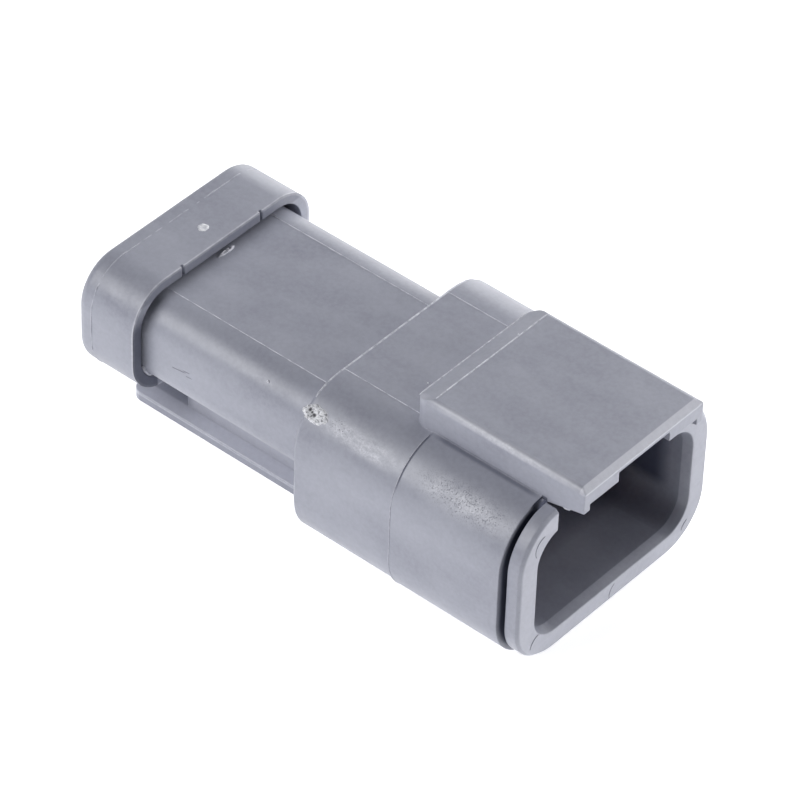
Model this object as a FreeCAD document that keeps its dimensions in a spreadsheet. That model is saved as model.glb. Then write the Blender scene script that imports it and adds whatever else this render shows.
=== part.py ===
"""Sealed three-way inline receptacle of the small automotive series.

X runs along the connector, with the mating end at +X. Z is up and Y is across. The origin lies on the
surface that the connector rests on, below the middle of its length. Lengths are in millimetres. Inside
each sub-part, x is counted from the rear face of the cap and z from the axis of the contact row.
"""
import FreeCAD, Part
import math
import os
import Sketcher

# Driving dimensions: name, value, what it measures
SIZES = [
    ("overall_length", 47.24, "rear face of the cap to the front edge of the latch bridge"),
    ("axis_height", 8.30, "contact axis above the resting plane"),
    ("pitch", 4.19, "contact spacing"),
    ("embed", 0.60, "how deep one form of a moulding runs into the next"),
    # rear cap
    ("cap_length", 5.87, "depth of the cap"),
    ("cap_wall", 0.92, "skirt thickness of the cap"),
    ("cap_side_play", 0.28, "clearance of the skirt beside the neck"),
    ("cap_top_play", 0.43, "clearance of the skirt above and below the neck"),
    ("cap_corner", 3.65, "outer corner radius of the cap"),
    ("cap_back", 1.20, "rear wall of the cap"),
    ("cap_edge", 0.80, "rounding of the rear edge of the cap"),
    ("cap_hole", 1.75, "radius of a wire opening in the cap"),
    ("cap_hole_bevel", 0.25, "bevel of a wire opening"),
    ("cap_mark", 0.30, "width of the insert marks in the front lip of the cap"),
    ("cap_mark_depth", 0.25, "depth of those marks"),
    # neck, the rear half of the housing
    ("neck_half_width", 8.95, "outer half width of the neck"),
    ("neck_half_height", 3.79, "outer half height of the neck"),
    ("neck_top_corner", 2.90, "upper corner radius of the neck"),
    ("neck_low_corner", 2.15, "lower corner radius of the neck"),
    ("pocket_half_width", 7.70, "half width of the seal pocket"),
    ("pocket_half_height", 2.60, "half height of the seal pocket"),
    ("pocket_corner", 2.30, "corner radius of the seal pocket"),
    ("pocket_depth", 6.50, "depth of the seal pocket"),
    ("cavity_bore", 1.40, "radius of a contact cavity"),
    ("stop_at", 18.20, "shoulder that stops a contact going forward"),
    ("lance_length", 2.20, "length of a lock finger"),
    ("lance_flat", 1.76, "flat inner face of a lock finger"),
    ("lance_root", 0.20, "how deep a lock finger is rooted in the cavity's wall"),
    ("lance_reach", 0.45, "how far a lock finger stands into the cavity"),
    ("lance_width", 1.30, "width of a lock finger"),
    ("tooth_half_width", 4.30, "half width of the snap tooth for the cap"),
    ("tooth_height", 0.62, "height of the snap tooth"),
    ("tooth_at", 3.30, "rear end of the snap tooth"),
    ("tooth_length", 1.20, "length of the snap tooth"),
    ("tooth_crest", 0.40, "flat crest of the snap tooth"),
    ("snap_play", 0.12, "play of the cap on its snap tooth"),
    # shell and rim, the mating end of the housing
    ("shell_at", 23.22, "rear face of the shell"),
    ("shell_half_width", 11.54, "outer half width of the shell"),
    ("shell_top", 6.30, "top of the shell above the axis"),
    ("shell_corner", 4.90, "outer corner radius of the shell"),
    ("shell_edge", 0.32, "bevel of the rear edge of the shell"),
    ("step_at", 32.95, "where the mould halves meet on the shell"),
    ("step_rise", 0.08, "how far the front of the shell stands proud"),
    ("groove_at", 43.38, "rear side of the groove behind the rim"),
    ("groove_width", 0.44, "width of that groove"),
    ("groove_depth", 1.15, "depth of that groove"),
    ("rim_front", 45.07, "front face of the rim"),
    ("rim_half_width", 11.08, "outer half width of the rim"),
    ("rim_top", 6.10, "top of the rim above the axis"),
    ("rim_low", 8.05, "underside of the rim below the axis"),
    ("rim_corner", 4.40, "outer corner radius of the rim"),
    ("rim_edge", 0.28, "bevel of the rim's outer front edge"),
    ("rim_gap", 0.12, "clearance between the rim's cut ends and the bridge walls"),
    # mating cavity
    ("mouth_half_width", 9.15, "half width of the mouth"),
    ("mouth_top", 4.15, "top of the mouth above the axis"),
    ("mouth_low", 6.22, "bottom of the mouth below the axis"),
    ("mouth_corner", 2.60, "corner radius of the mouth"),
    ("lead_in", 0.28, "inward step of the lead-in"),
    ("lead_depth", 0.80, "depth of the lead-in"),
    ("floor_at", 25.50, "floor of the mating cavity"),
    # latch bridge
    ("bridge_at", 31.02, "rear wall of the bridge"),
    ("bridge_half_width", 6.88, "outer half width of the bridge"),
    ("bridge_top", 9.06, "top of the bridge above the axis"),
    ("bridge_corner", 1.15, "plan radius of the bridge's rear corners"),
    ("bridge_slope", 1.68, "length of the slope over the bridge's rear wall"),
    ("bridge_slope_drop", 0.66, "height of that slope"),
    ("bridge_wall", 0.66, "thickness of the bridge's sides and of its thin middle"),
    ("bridge_edge", 0.55, "rounding along the bridge's top edges"),
    ("bridge_bevel", 0.30, "height of the bevel at the bridge's front edge"),
    ("bridge_bevel_run", 0.50, "length of that bevel"),
    ("bridge_sink", 0.30, "how far the bridge's sides reach below the top of the shell"),
    ("bridge_lip_rise", 0.62, "how far the free lower edge of the bridge's sides rises to the front"),
    ("guide_half_gap", 2.95, "half width of the latch channel between the guides"),
    ("guide_depth", 0.90, "how far the guides stand below the thin middle"),
    ("tunnel_at", 33.00, "rear end of the latch tunnel"),
    ("catch_at", 38.60, "locking face of the latch catch"),
    ("catch_length", 2.60, "ramp of the latch catch"),
    ("catch_flat", 0.65, "flat crest of the latch catch"),
    ("catch_height", 0.85, "height of the latch catch"),
    # clip rail under the neck
    ("plate_half_width", 6.97, "half width of the rail's plate"),
    ("plate_thick", 0.87, "thickness of the rail's plate"),
    ("plate_at", 2.60, "rear end of the plate"),
    ("plate_corner", 1.00, "plan radius of the plate's rear corners"),
    ("web_half_width", 5.62, "outer half width over the webs"),
    ("web_thick", 1.05, "thickness of a web"),
    ("web_at", 7.40, "rear end of the webs"),
    ("rail_height", 2.25, "clear height of the clip slot"),
    ("stem_half_gap", 2.50, "half width of the slot in the plate"),
    ("stem_end", 20.00, "front end of the slot in the plate"),
    # wire seal
    ("flange_thick", 0.80, "flange of the seal"),
    ("flange_inset", 0.15, "how far the flange stays inside the neck's outline"),
    ("seal_play", 0.05, "clearance of the seal's ribs in the pocket"),
    ("seal_rib", 0.40, "height of an outer rib of the seal"),
    ("seal_rib_length", 1.00, "length of an outer rib"),
    ("seal_rib_first", 1.04, "first outer rib, ahead of the seal's flange"),
    ("seal_length", 6.20, "length of the seal inside the pocket"),
    ("seal_hole", 0.80, "radius of a wire hole, relaxed"),
    # contacts
    ("pin_radius", 0.51, "radius of a pin"),
    ("pin_tip_at", 39.50, "tip of a pin"),
    ("pin_nose", 0.25, "length of the bevel at a pin's tip"),
    ("pin_nose_flat", 0.22, "radius of the flat end of a pin's tip"),
    ("root_radius", 0.70, "radius of a pin's root, inside the lock"),
    ("root_over", 0.10, "how far the root stands out of the lock"),
    ("root_bevel", 0.20, "bevel between root and pin"),
    ("barrel_at", 10.30, "rear end of a crimp barrel"),
    ("barrel_radius", 0.98, "outer radius of a crimp barrel"),
    ("barrel_bore", 0.62, "bore radius of a crimp barrel"),
    ("barrel_depth", 3.60, "depth of a crimp barrel"),
    ("barrel_length", 4.30, "length of a crimp barrel"),
    ("sight_hole", 0.30, "radius of the inspection hole in a barrel"),
    ("sight_back", 0.90, "inspection hole behind the end of the crimp bore"),
    ("waist_radius", 0.72, "radius of a contact's waist"),
    ("flange_length", 1.10, "length of a contact's flange"),
    ("flange_play", 0.10, "radial clearance of the flange in its cavity"),
    ("shank_play", 0.06, "radial clearance of the shank in the front bore"),
    ("shank_radius", 0.98, "radius of a contact's shank"),
    # secondary lock
    ("lock_play", 0.10, "clearance round the lock"),
    ("lock_half_width", 7.40, "half width of the lock"),
    ("lock_half_height", 3.10, "half height of the lock"),
    ("lock_corner", 1.60, "corner radius of the lock"),
    ("lock_length", 3.60, "length of the lock's block"),
    ("lock_edge", 0.40, "bevel round the lock's front face"),
    ("lock_hole_play", 0.28, "radial clearance of a pin's root in the lock"),
    ("tongue_half_width", 5.40, "half width of a tongue"),
    ("tongue_thick", 0.60, "thickness of a tongue"),
    ("tongue_gap", 1.80, "height of a tongue's inner face above the axis"),
    ("tongue_length", 10.40, "length of a tongue"),
    ("pull_at", 6.28, "pull window beside the axis"),
    ("pull_half_width", 0.60, "half width of a pull window in the lock"),
    ("pull_half_height", 1.20, "half height of a pull window"),
    ("pull_depth", 2.20, "depth of a pull window"),
]

WAYS = 3
SEAL_RIBS = 3

DOC = FreeCAD.newDocument("receptacle")
SHEET = DOC.addObject("Spreadsheet::Sheet", "dims")


class Size:
    """A length: its number for drawing, and the expression that binds it to the sheet."""

    def __init__(self, text, value):
        self.text = text
        self.value = value

    def join(self, other, sign, value):
        text = other.text if isinstance(other, Size) else repr(other)
        return Size(f"({self.text} {sign} {text})", value)

    def __add__(self, other):
        return self.join(other, "+", self.value + number(other))

    def __sub__(self, other):
        return self.join(other, "-", self.value - number(other))

    def __mul__(self, factor):
        return self.join(factor, "*", self.value * number(factor))

    def __truediv__(self, factor):
        return self.join(factor, "/", self.value / number(factor))

    def __neg__(self):
        return Size(f"(-{self.text})", -self.value)


def number(size):
    return size.value if isinstance(size, Size) else float(size)


def fill_sheet():
    """Write the driving dimensions to the sheet and return them by name."""
    sizes = {}
    for row, (name, value, note) in enumerate(SIZES, start=1):
        SHEET.set(f"A{row}", name)
        SHEET.set(f"B{row}", str(value))
        SHEET.setAlias(f"B{row}", name)
        SHEET.set(f"C{row}", note)
    DOC.recompute()
    for name, _, _ in SIZES:
        sizes[name] = Size(f"dims.{name}", float(getattr(SHEET, name)))
    return sizes


def bind(item, path, size):
    if isinstance(size, Size):
        item.setExpression(path, size.text)
    else:
        setattr(item, path, size)


# Sketches and features

def new_body(name, across=0.0):
    """A body in the connector's frame, moved across by a multiple of the pitch."""
    body = DOC.addObject("PartDesign::Body", name)
    body.Label = name
    bind(body, "Placement.Base.x", -D["overall_length"] / 2)
    bind(body, "Placement.Base.y", D["pitch"] * across)
    bind(body, "Placement.Base.z", D["axis_height"])
    return body


def origin_item(body, role):
    for item in body.Origin.OriginFeatures:
        if item.Role == role:
            return item
    raise ValueError(role)


def new_sketch(body, name, role, offset=None):
    sketch = body.newObject("Sketcher::SketchObject", name)
    sketch.AttachmentSupport = [(origin_item(body, role), "")]
    sketch.MapMode = "FlatFace"
    if offset is not None:
        bind(sketch, "AttachmentOffset.Base.z", offset)
    return sketch


def dimension(sketch, kind, ids, size):
    """One dimension of a sketch, bound to the sheet where it comes from there."""
    index = sketch.addConstraint(Sketcher.Constraint(kind, *ids, number(size)))
    if isinstance(size, Size):
        sketch.setExpression(f"Constraints[{index}]", size.text)


def pin_point(sketch, line, point, across, up):
    """Hold a point of a sketch at its distances from the sketch's origin."""
    for kind, axis, size in (("DistanceX", -2, across), ("DistanceY", -1, up)):
        if isinstance(size, Size):
            dimension(sketch, kind, (-1, 1, line, point), size)
        else:
            sketch.addConstraint(Sketcher.Constraint("PointOnObject", line, point, axis))


def polygon(sketch, points):
    """A closed outline of straight lines through points given as (across, up)."""
    first = sketch.GeometryCount
    spots = [FreeCAD.Vector(number(a), number(b), 0) for a, b in points]
    count = len(spots)
    for i in range(count):
        sketch.addGeometry(Part.LineSegment(spots[i], spots[(i + 1) % count]), False)
    for i in range(count):
        after = first + (i + 1) % count
        sketch.addConstraint(Sketcher.Constraint("Coincident", first + i, 2, after, 1))
    for i, (across, up) in enumerate(points):
        pin_point(sketch, first + i, 1, across, up)


def rectangle(sketch, left, right, low, high):
    polygon(sketch, [(left, low), (right, low), (right, high), (left, high)])


def circle(sketch, across, up, radius):
    index = sketch.addGeometry(
        Part.Circle(FreeCAD.Vector(number(across), number(up), 0), FreeCAD.Vector(0, 0, 1), number(radius)),
        False)
    pin_point(sketch, index, 3, across, up)
    dimension(sketch, "Radius", (index,), radius)


def rounded(sketch, half_width, high, low, high_radius, low_radius):
    """A closed outline with round corners, the same on both sides of the upright axis."""
    w, t, b = number(half_width), number(high), number(low)
    rt, rb = number(high_radius), number(low_radius)
    flat = FreeCAD.Vector(0, 0, 1)

    def line(x0, y0, x1, y1):
        sketch.addGeometry(Part.LineSegment(FreeCAD.Vector(x0, y0, 0), FreeCAD.Vector(x1, y1, 0)), False)

    def arc(x, y, r, start):
        ring = Part.Circle(FreeCAD.Vector(x, y, 0), flat, r)
        sketch.addGeometry(Part.ArcOfCircle(ring, math.radians(start), math.radians(start + 90)), False)

    line(-w + rb, b, w - rb, b)
    arc(w - rb, b + rb, rb, -90)
    line(w, b + rb, w, t - rt)
    arc(w - rt, t - rt, rt, 0)
    line(w - rt, t, -w + rt, t)
    arc(-w + rt, t - rt, rt, 90)
    line(-w, t - rt, -w, b + rb)
    arc(-w + rb, b + rb, rb, 180)
    for i in range(8):
        sketch.addConstraint(Sketcher.Constraint("Tangent", i, 2, (i + 1) % 8, 1))
    sketch.addConstraint(Sketcher.Constraint("Symmetric", 0, 1, 0, 2, -2))
    sketch.addConstraint(Sketcher.Constraint("Horizontal", 4))
    sketch.addConstraint(Sketcher.Constraint("Vertical", 2))
    sketch.addConstraint(Sketcher.Constraint("Vertical", 6))
    sketch.addConstraint(Sketcher.Constraint("Equal", 1, 7))
    sketch.addConstraint(Sketcher.Constraint("Equal", 3, 5))
    dimension(sketch, "DistanceX", (6, 1, 2, 1), half_width * 2)
    dimension(sketch, "DistanceY", (-1, 1, 0, 1), low)
    dimension(sketch, "DistanceY", (-1, 1, 4, 1), high)
    dimension(sketch, "Radius", (1,), low_radius)
    dimension(sketch, "Radius", (3,), high_radius)


def pad(body, name, sketch, length, middle=False):
    feature = body.newObject("PartDesign::Pad", name)
    feature.Profile = sketch
    feature.Midplane = middle
    bind(feature, "Length", length)
    sketch.Visibility = False
    return feature


def pocket(body, name, sketch, length, forward=False, middle=False):
    """A cut from the sketch's plane, away from its normal, or along it with forward."""
    feature = body.newObject("PartDesign::Pocket", name)
    feature.Profile = sketch
    feature.Midplane = middle
    feature.Reversed = forward
    bind(feature, "Length", length)
    sketch.Visibility = False
    return feature


def section_pad(body, name, at, until, draw):
    """A form of one cross-section, from x = at to x = until."""
    sketch = new_sketch(body, f"{name}_section", "YZ_Plane", at)
    draw(sketch)
    return pad(body, name, sketch, until - at)


def section_pocket(body, name, at, until, draw):
    """A cut of one cross-section, from x = at back to x = until."""
    sketch = new_sketch(body, f"{name}_section", "YZ_Plane", at)
    draw(sketch)
    return pocket(body, name, sketch, at - until)


def edges_where(body, test):
    """The names of the edges of a body's last feature that a test picks."""
    DOC.recompute()
    shape = body.Tip.Shape
    return [f"Edge{i}" for i, edge in enumerate(shape.Edges, start=1) if test(edge)]


def fillet(body, name, radius, test):
    names = edges_where(body, test)
    base = body.Tip
    feature = body.newObject("PartDesign::Fillet", name)
    feature.Base = (base, names)
    bind(feature, "Radius", radius)
    return feature


def chamfer(body, name, size, test):
    names = edges_where(body, test)
    base = body.Tip
    feature = body.newObject("PartDesign::Chamfer", name)
    feature.Base = (base, names)
    bind(feature, "Size", size)
    return feature


def near(a, b, slack=0.01):
    return abs(a - number(b)) < slack


def lies_at(edge, axis, place):
    """Whether a whole edge lies in the plane where one coordinate has the given place."""
    box = edge.BoundBox
    low, high = {"x": (box.XMin, box.XMax), "y": (box.YMin, box.YMax), "z": (box.ZMin, box.ZMax)}[axis]
    return near(low, place) and near(high, place)


def within(edge, half_width, high, low, slack=0.01):
    """Whether a whole edge lies inside an outline of the given sizes, across and up."""
    box = edge.BoundBox
    return (box.YMax < number(half_width) + slack and box.YMin > -number(half_width) - slack
            and box.ZMax < number(high) + slack and box.ZMin > number(low) - slack)


def contact_places():
    """Where the contacts lie across the connector."""
    return [-D["pitch"], 0, D["pitch"]]


def repeat_across(body, name, first):
    """Copies of a feature made on the first contact, one for each contact."""
    pattern = body.newObject("PartDesign::LinearPattern", name)
    pattern.Originals = [first]
    pattern.Direction = (origin_item(body, "Y_Axis"), [""])
    bind(pattern, "Length", D["pitch"] * (WAYS - 1))
    pattern.Occurrences = WAYS
    body.Tip = pattern


# Housing

def housing_neck(body):
    """Rear half: a rounded block with the seal pocket and the snap teeth for the cap."""
    section_pad(body, "neck", D["neck_at"], D["floor_at"], lambda sketch: rounded(
        sketch, D["neck_half_width"], D["neck_half_height"], -D["neck_half_height"],
        D["neck_top_corner"], D["neck_low_corner"]))
    for side, sign in (("upper", 1), ("lower", -1)):
        sketch = new_sketch(body, f"{side}_tooth_profile", "XZ_Plane")
        face = D["neck_half_height"] * sign
        crest = (D["neck_half_height"] + D["tooth_height"]) * sign
        root = (D["neck_half_height"] - D["embed"]) * sign
        front = D["tooth_at"] + D["tooth_length"]
        polygon(sketch, [(D["tooth_at"], root), (front, root), (front, crest),
                         (front - D["tooth_crest"], crest), (D["tooth_at"], face)])
        pad(body, f"{side}_tooth", sketch, D["tooth_half_width"] * 2, middle=True)


def housing_shell(body):
    """Mating half: shell in two slightly different sizes, groove, and rim."""
    rear_inset = D["step_rise"]
    section_pad(body, "shell_rear", D["shell_at"], D["step_at"], lambda sketch: rounded(
        sketch, D["shell_half_width"] - rear_inset, D["shell_top"] - rear_inset,
        -(D["axis_height"] - rear_inset), D["shell_corner"], D["shell_corner"]))
    chamfer(body, "shell_rear_bevel", D["shell_edge"], lambda edge: lies_at(edge, "x", D["shell_at"])
            and not within(edge, D["neck_half_width"], D["neck_half_height"], -D["neck_half_height"]))
    section_pad(body, "shell_front", D["step_at"], D["groove_at"], lambda sketch: rounded(
        sketch, D["shell_half_width"], D["shell_top"], -D["axis_height"],
        D["shell_corner"], D["shell_corner"]))
    sunk = D["groove_depth"]
    section_pad(body, "groove_core", D["groove_at"], D["rim_at"], lambda sketch: rounded(
        sketch, D["shell_half_width"] - sunk, D["shell_top"] - sunk, -(D["axis_height"] - sunk),
        D["shell_corner"] - sunk, D["shell_corner"] - sunk))
    section_pad(body, "rim", D["rim_at"], D["rim_front"], lambda sketch: rounded(
        sketch, D["rim_half_width"], D["rim_top"], -D["rim_low"], D["rim_corner"], D["rim_corner"]))
    chamfer(body, "rim_bevel", D["rim_edge"], lambda edge: lies_at(edge, "x", D["rim_front"]))


def housing_cavity(body):
    """The mating cavity, with its lead-in."""
    narrow = D["lead_in"]
    section_pocket(body, "cavity", D["rim_front"], D["floor_at"], lambda sketch: rounded(
        sketch, D["mouth_half_width"] - narrow, D["mouth_top"] - narrow, -(D["mouth_low"] - narrow),
        D["mouth_corner"] - narrow, D["mouth_corner"] - narrow))
    names = edges_where(body, lambda edge: lies_at(edge, "x", D["rim_front"])
                        and within(edge, D["mouth_half_width"], D["mouth_top"], -D["mouth_low"]))
    base = body.Tip
    bevel = body.newObject("PartDesign::Chamfer", "lead_in_bevel")
    bevel.ChamferType = "Two distances"
    bevel.Base = (base, names)
    bind(bevel, "Size", D["lead_in"])
    bind(bevel, "Size2", D["lead_depth"])
    DOC.recompute()
    mouth_edges = [edge for edge in bevel.Shape.Edges if lies_at(edge, "x", D["rim_front"])
                   and near(edge.BoundBox.ZMax, D["mouth_top"])]
    bevel.FlipDirection = not mouth_edges


def housing_bridge(body):
    """The latch bridge over the mating cavity, open below and in front."""
    low, top = D["shell_top"] - D["bridge_sink"], D["bridge_top"]
    back, front, half = D["bridge_at"], D["overall_length"], D["bridge_half_width"]
    over = D["embed"]
    plan = new_sketch(body, "bridge_plan", "XY_Plane", low)
    rectangle(plan, back, front, -half, half)
    pad(body, "bridge", plan, top - low)

    def lies_beside(edge):
        return lies_at(edge, "y", half) or lies_at(edge, "y", -half)

    fillet(body, "bridge_corners", D["bridge_corner"], lambda edge: lies_at(edge, "x", back)
           and lies_beside(edge))
    fillet(body, "bridge_top_round", D["bridge_edge"], lambda edge: lies_at(edge, "z", top)
           and lies_beside(edge))
    slope = new_sketch(body, "bridge_slope_profile", "XZ_Plane")
    polygon(slope, [(back - over, top - D["bridge_slope_drop"]), (back, top - D["bridge_slope_drop"]),
                    (back + D["bridge_slope"], top), (back + D["bridge_slope"], top + over),
                    (back - over, top + over)])
    pocket(body, "bridge_slope_cut", slope, (half + over) * 2, middle=True)
    bevel = new_sketch(body, "bridge_bevel_profile", "XZ_Plane")
    polygon(bevel, [(front - D["bridge_bevel_run"], top), (front, top - D["bridge_bevel"]),
                    (front + over, top - D["bridge_bevel"]), (front + over, top + over),
                    (front - D["bridge_bevel_run"], top + over)])
    pocket(body, "bridge_front_bevel", bevel, (half + over) * 2, middle=True)


def housing_tunnel(body):
    """The tunnel under the bridge, the cut through the rim, and the latch catch."""
    inner = D["bridge_half_width"] - D["bridge_wall"]
    thin = D["bridge_top"] - D["bridge_wall"]
    guide = thin - D["guide_depth"]
    below = D["mouth_top"] - D["lead_in"] - D["embed"]
    gap = D["guide_half_gap"]
    section_pocket(body, "tunnel", D["overall_length"], D["tunnel_at"], lambda sketch: polygon(
        sketch, [(-inner, below), (inner, below), (inner, guide), (gap, guide), (gap, thin),
                 (-gap, thin), (-gap, guide), (-inner, guide)]))
    cut = D["bridge_half_width"] + D["rim_gap"]
    section_pocket(body, "rim_cut", D["rim_front"], D["groove_at"], lambda sketch: rectangle(
        sketch, -cut, cut, below, D["rim_top"]))
    lip = new_sketch(body, "bridge_lip_profile", "XZ_Plane")
    foot = D["shell_top"] - D["bridge_sink"]
    front = D["overall_length"]
    polygon(lip, [(D["groove_at"], foot - D["embed"]), (front + D["embed"], foot - D["embed"]),
                  (front + D["embed"], D["shell_top"] + D["bridge_lip_rise"]),
                  (front, D["shell_top"] + D["bridge_lip_rise"]), (D["groove_at"], foot)])
    pocket(body, "bridge_lip", lip, D["bridge_half_width"] * 2 + D["rim_gap"], middle=True)
    catch = new_sketch(body, "catch_profile", "XZ_Plane")
    root = thin + D["bridge_sink"]
    polygon(catch, [(D["catch_at"], root), (D["catch_at"], thin - D["catch_height"]),
                    (D["catch_at"] + D["catch_flat"], thin - D["catch_height"]),
                    (D["catch_at"] + D["catch_length"], thin), (D["catch_at"] + D["catch_length"], root)])
    pad(body, "catch", catch, gap * 2 + D["embed"], middle=True)


def housing_rail(body):
    """The clip rail under the neck: two webs, a guide between them, and a slotted plate."""
    outer = D["web_half_width"]
    inner = outer - D["web_thick"]
    plate_top = D["plate_thick"] - D["axis_height"]
    ceiling = plate_top + D["rail_height"]
    foot = plate_top - D["embed"]
    root = -(D["neck_half_height"] - D["embed"])
    section_pad(body, "rail_webs", D["web_at"], D["floor_at"] - D["embed"], lambda sketch: polygon(
        sketch, [(-outer, foot), (-inner, foot), (-inner, ceiling), (inner, ceiling), (inner, foot),
                 (outer, foot), (outer, root), (-outer, root)]))
    plate = new_sketch(body, "plate_plan", "XY_Plane", -D["axis_height"])
    half, stem = D["plate_half_width"], D["stem_half_gap"]
    polygon(plate, [(D["plate_at"], -half), (D["shell_at"] + D["embed"], -half),
                    (D["shell_at"] + D["embed"], half), (D["plate_at"], half),
                    (D["plate_at"], stem), (D["stem_end"], stem),
                    (D["stem_end"], -stem), (D["plate_at"], -stem)])
    pad(body, "plate", plate, D["plate_thick"])
    fillet(body, "plate_corners", D["plate_corner"], lambda edge: lies_at(edge, "x", D["plate_at"]) and (
        lies_at(edge, "y", half) or lies_at(edge, "y", -half)))


def housing_contact_cavities(body):
    """Seal pocket, three stepped cavities with lock fingers, and the slots for the lock's tongues."""
    sketch = new_sketch(body, "seal_pocket_section", "YZ_Plane", D["neck_at"])
    rounded(sketch, D["pocket_half_width"], D["pocket_half_height"], -D["pocket_half_height"],
            D["pocket_corner"], D["pocket_corner"])
    pocket(body, "seal_pocket", sketch, D["pocket_depth"], forward=True)
    slot = D["lock_play"]
    tongue_low = D["tongue_gap"] - slot
    tongue_high = D["tongue_gap"] + D["tongue_thick"] + slot
    wide = D["tongue_half_width"] + slot
    sketch = new_sketch(body, "tongue_slots_section", "YZ_Plane", D["floor_at"])
    rectangle(sketch, -wide, wide, tongue_low, tongue_high)
    rectangle(sketch, -wide, wide, -tongue_high, -tongue_low)
    pocket(body, "tongue_slots", sketch, D["tongue_length"] + slot)
    pocket_floor = D["neck_at"] + D["pocket_depth"]
    for name, start, end, radius in (
            ("cavities", pocket_floor, D["stop_at"], D["cavity_bore"]),
            ("front_bores", D["stop_at"], D["floor_at"], D["shank_radius"] + D["shank_play"])):
        sketch = new_sketch(body, f"{name}_section", "YZ_Plane", start)
        for place in contact_places():
            circle(sketch, place, 0, radius)
        pocket(body, name, sketch, end - start, forward=True)
    flange_rear = D["stop_at"] - D["flange_length"]
    finger_tip = flange_rear - D["snap_play"]
    finger_rear = finger_tip - D["lance_length"]
    lance = new_sketch(body, "lance_profile", "XZ_Plane", D["pitch"])
    for sign in (1, -1):
        root = (D["cavity_bore"] + D["lance_root"]) * sign
        face = (D["cavity_bore"] - D["lance_reach"]) * sign
        polygon(lance, [(finger_rear, root), (finger_tip, root), (finger_tip, face),
                        (finger_tip - D["lance_flat"], face)])
    first = pad(body, "lances_first", lance, D["lance_width"], middle=True)
    repeat_across(body, "lances", first)


def make_housing():
    body = new_body("housing")
    housing_neck(body)
    housing_shell(body)
    housing_cavity(body)
    housing_bridge(body)
    housing_tunnel(body)
    housing_rail(body)
    housing_contact_cavities(body)
    return body


# Cap, seal, lock and contacts

def make_rear_cap():
    """Snap-on cap that holds the wire seal in: a skirt, a rear wall and three wire openings."""
    body = new_body("rear_cap")
    block = new_sketch(body, "cap_block_section", "YZ_Plane")
    rounded(block, D["cap_half_width"], D["cap_half_height"], -D["cap_half_height"],
            D["cap_corner"], D["cap_corner"])
    pad(body, "cap_block", block, D["cap_length"])
    fillet(body, "cap_round", D["cap_edge"], lambda edge: lies_at(edge, "x", 0.0))
    wall = D["cap_wall"]
    section_pocket(body, "cap_inside", D["cap_length"], D["cap_back"], lambda sketch: rounded(
        sketch, D["cap_half_width"] - wall, D["cap_half_height"] - wall, -(D["cap_half_height"] - wall),
        D["cap_corner"] - wall, D["cap_corner"] - wall))
    sketch = new_sketch(body, "wire_openings_section", "YZ_Plane", D["cap_back"])
    for place in contact_places():
        circle(sketch, place, 0, D["cap_hole"])
    pocket(body, "wire_openings", sketch, D["cap_back"])
    chamfer(body, "wire_opening_bevel", D["cap_hole_bevel"], lambda edge: lies_at(edge, "x", 0.0)
            and isinstance(edge.Curve, Part.Circle) and near(edge.Curve.Radius, D["cap_hole"]))
    window = new_sketch(body, "snap_windows_profile", "XZ_Plane")
    play = D["snap_play"]
    inside = D["cap_half_height"] - wall
    crest = D["neck_half_height"] + D["tooth_height"] + play
    for sign in (1, -1):
        rectangle(window, D["tooth_at"] - play, D["tooth_at"] + D["tooth_length"] + play,
                  (inside - D["embed"]) * sign, crest * sign)
    pocket(body, "snap_windows", window, (D["tooth_half_width"] + play) * 2, middle=True)
    marks = new_sketch(body, "insert_marks_section", "YZ_Plane", D["cap_length"])
    for sign in (1, -1):
        rectangle(marks, D["tooth_half_width"] * sign, (D["tooth_half_width"] + D["cap_mark"]) * sign,
                  inside - D["embed"], D["cap_half_height"] + D["embed"])
    pocket(body, "insert_marks", marks, D["cap_mark_depth"])
    return body


def make_wire_seal():
    """Silicone seal: a flange outside the pocket, a ribbed plug inside it, and a hole for each wire."""
    body = new_body("wire_seal")
    inset = D["flange_inset"]
    section_pad(body, "flange", D["cap_back"], D["neck_at"], lambda sketch: rounded(
        sketch, D["neck_half_width"] - inset, D["neck_half_height"] - inset,
        -(D["neck_half_height"] - inset), D["neck_top_corner"] - inset, D["neck_low_corner"] - inset))
    core = D["seal_rib"] + D["seal_play"]
    end = D["neck_at"] + D["seal_length"]
    section_pad(body, "plug", D["neck_at"], end, lambda sketch: rounded(
        sketch, D["pocket_half_width"] - core, D["pocket_half_height"] - core,
        -(D["pocket_half_height"] - core), D["pocket_corner"] - core, D["pocket_corner"] - core))
    play = D["seal_play"]
    step = (D["seal_length"] - D["seal_rib_length"] - D["seal_rib_first"]) / (SEAL_RIBS - 1)
    for i in range(SEAL_RIBS):
        at = D["neck_at"] + D["seal_rib_first"] + step * i
        section_pad(body, f"rib_{i + 1}", at, at + D["seal_rib_length"], lambda sketch: rounded(
            sketch, D["pocket_half_width"] - play, D["pocket_half_height"] - play,
            -(D["pocket_half_height"] - play), D["pocket_corner"] - play, D["pocket_corner"] - play))
    holes = new_sketch(body, "wire_holes_section", "YZ_Plane", end)
    for place in contact_places():
        circle(holes, place, 0, D["seal_hole"])
    pocket(body, "wire_holes", holes, end - D["cap_back"])
    return body


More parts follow.
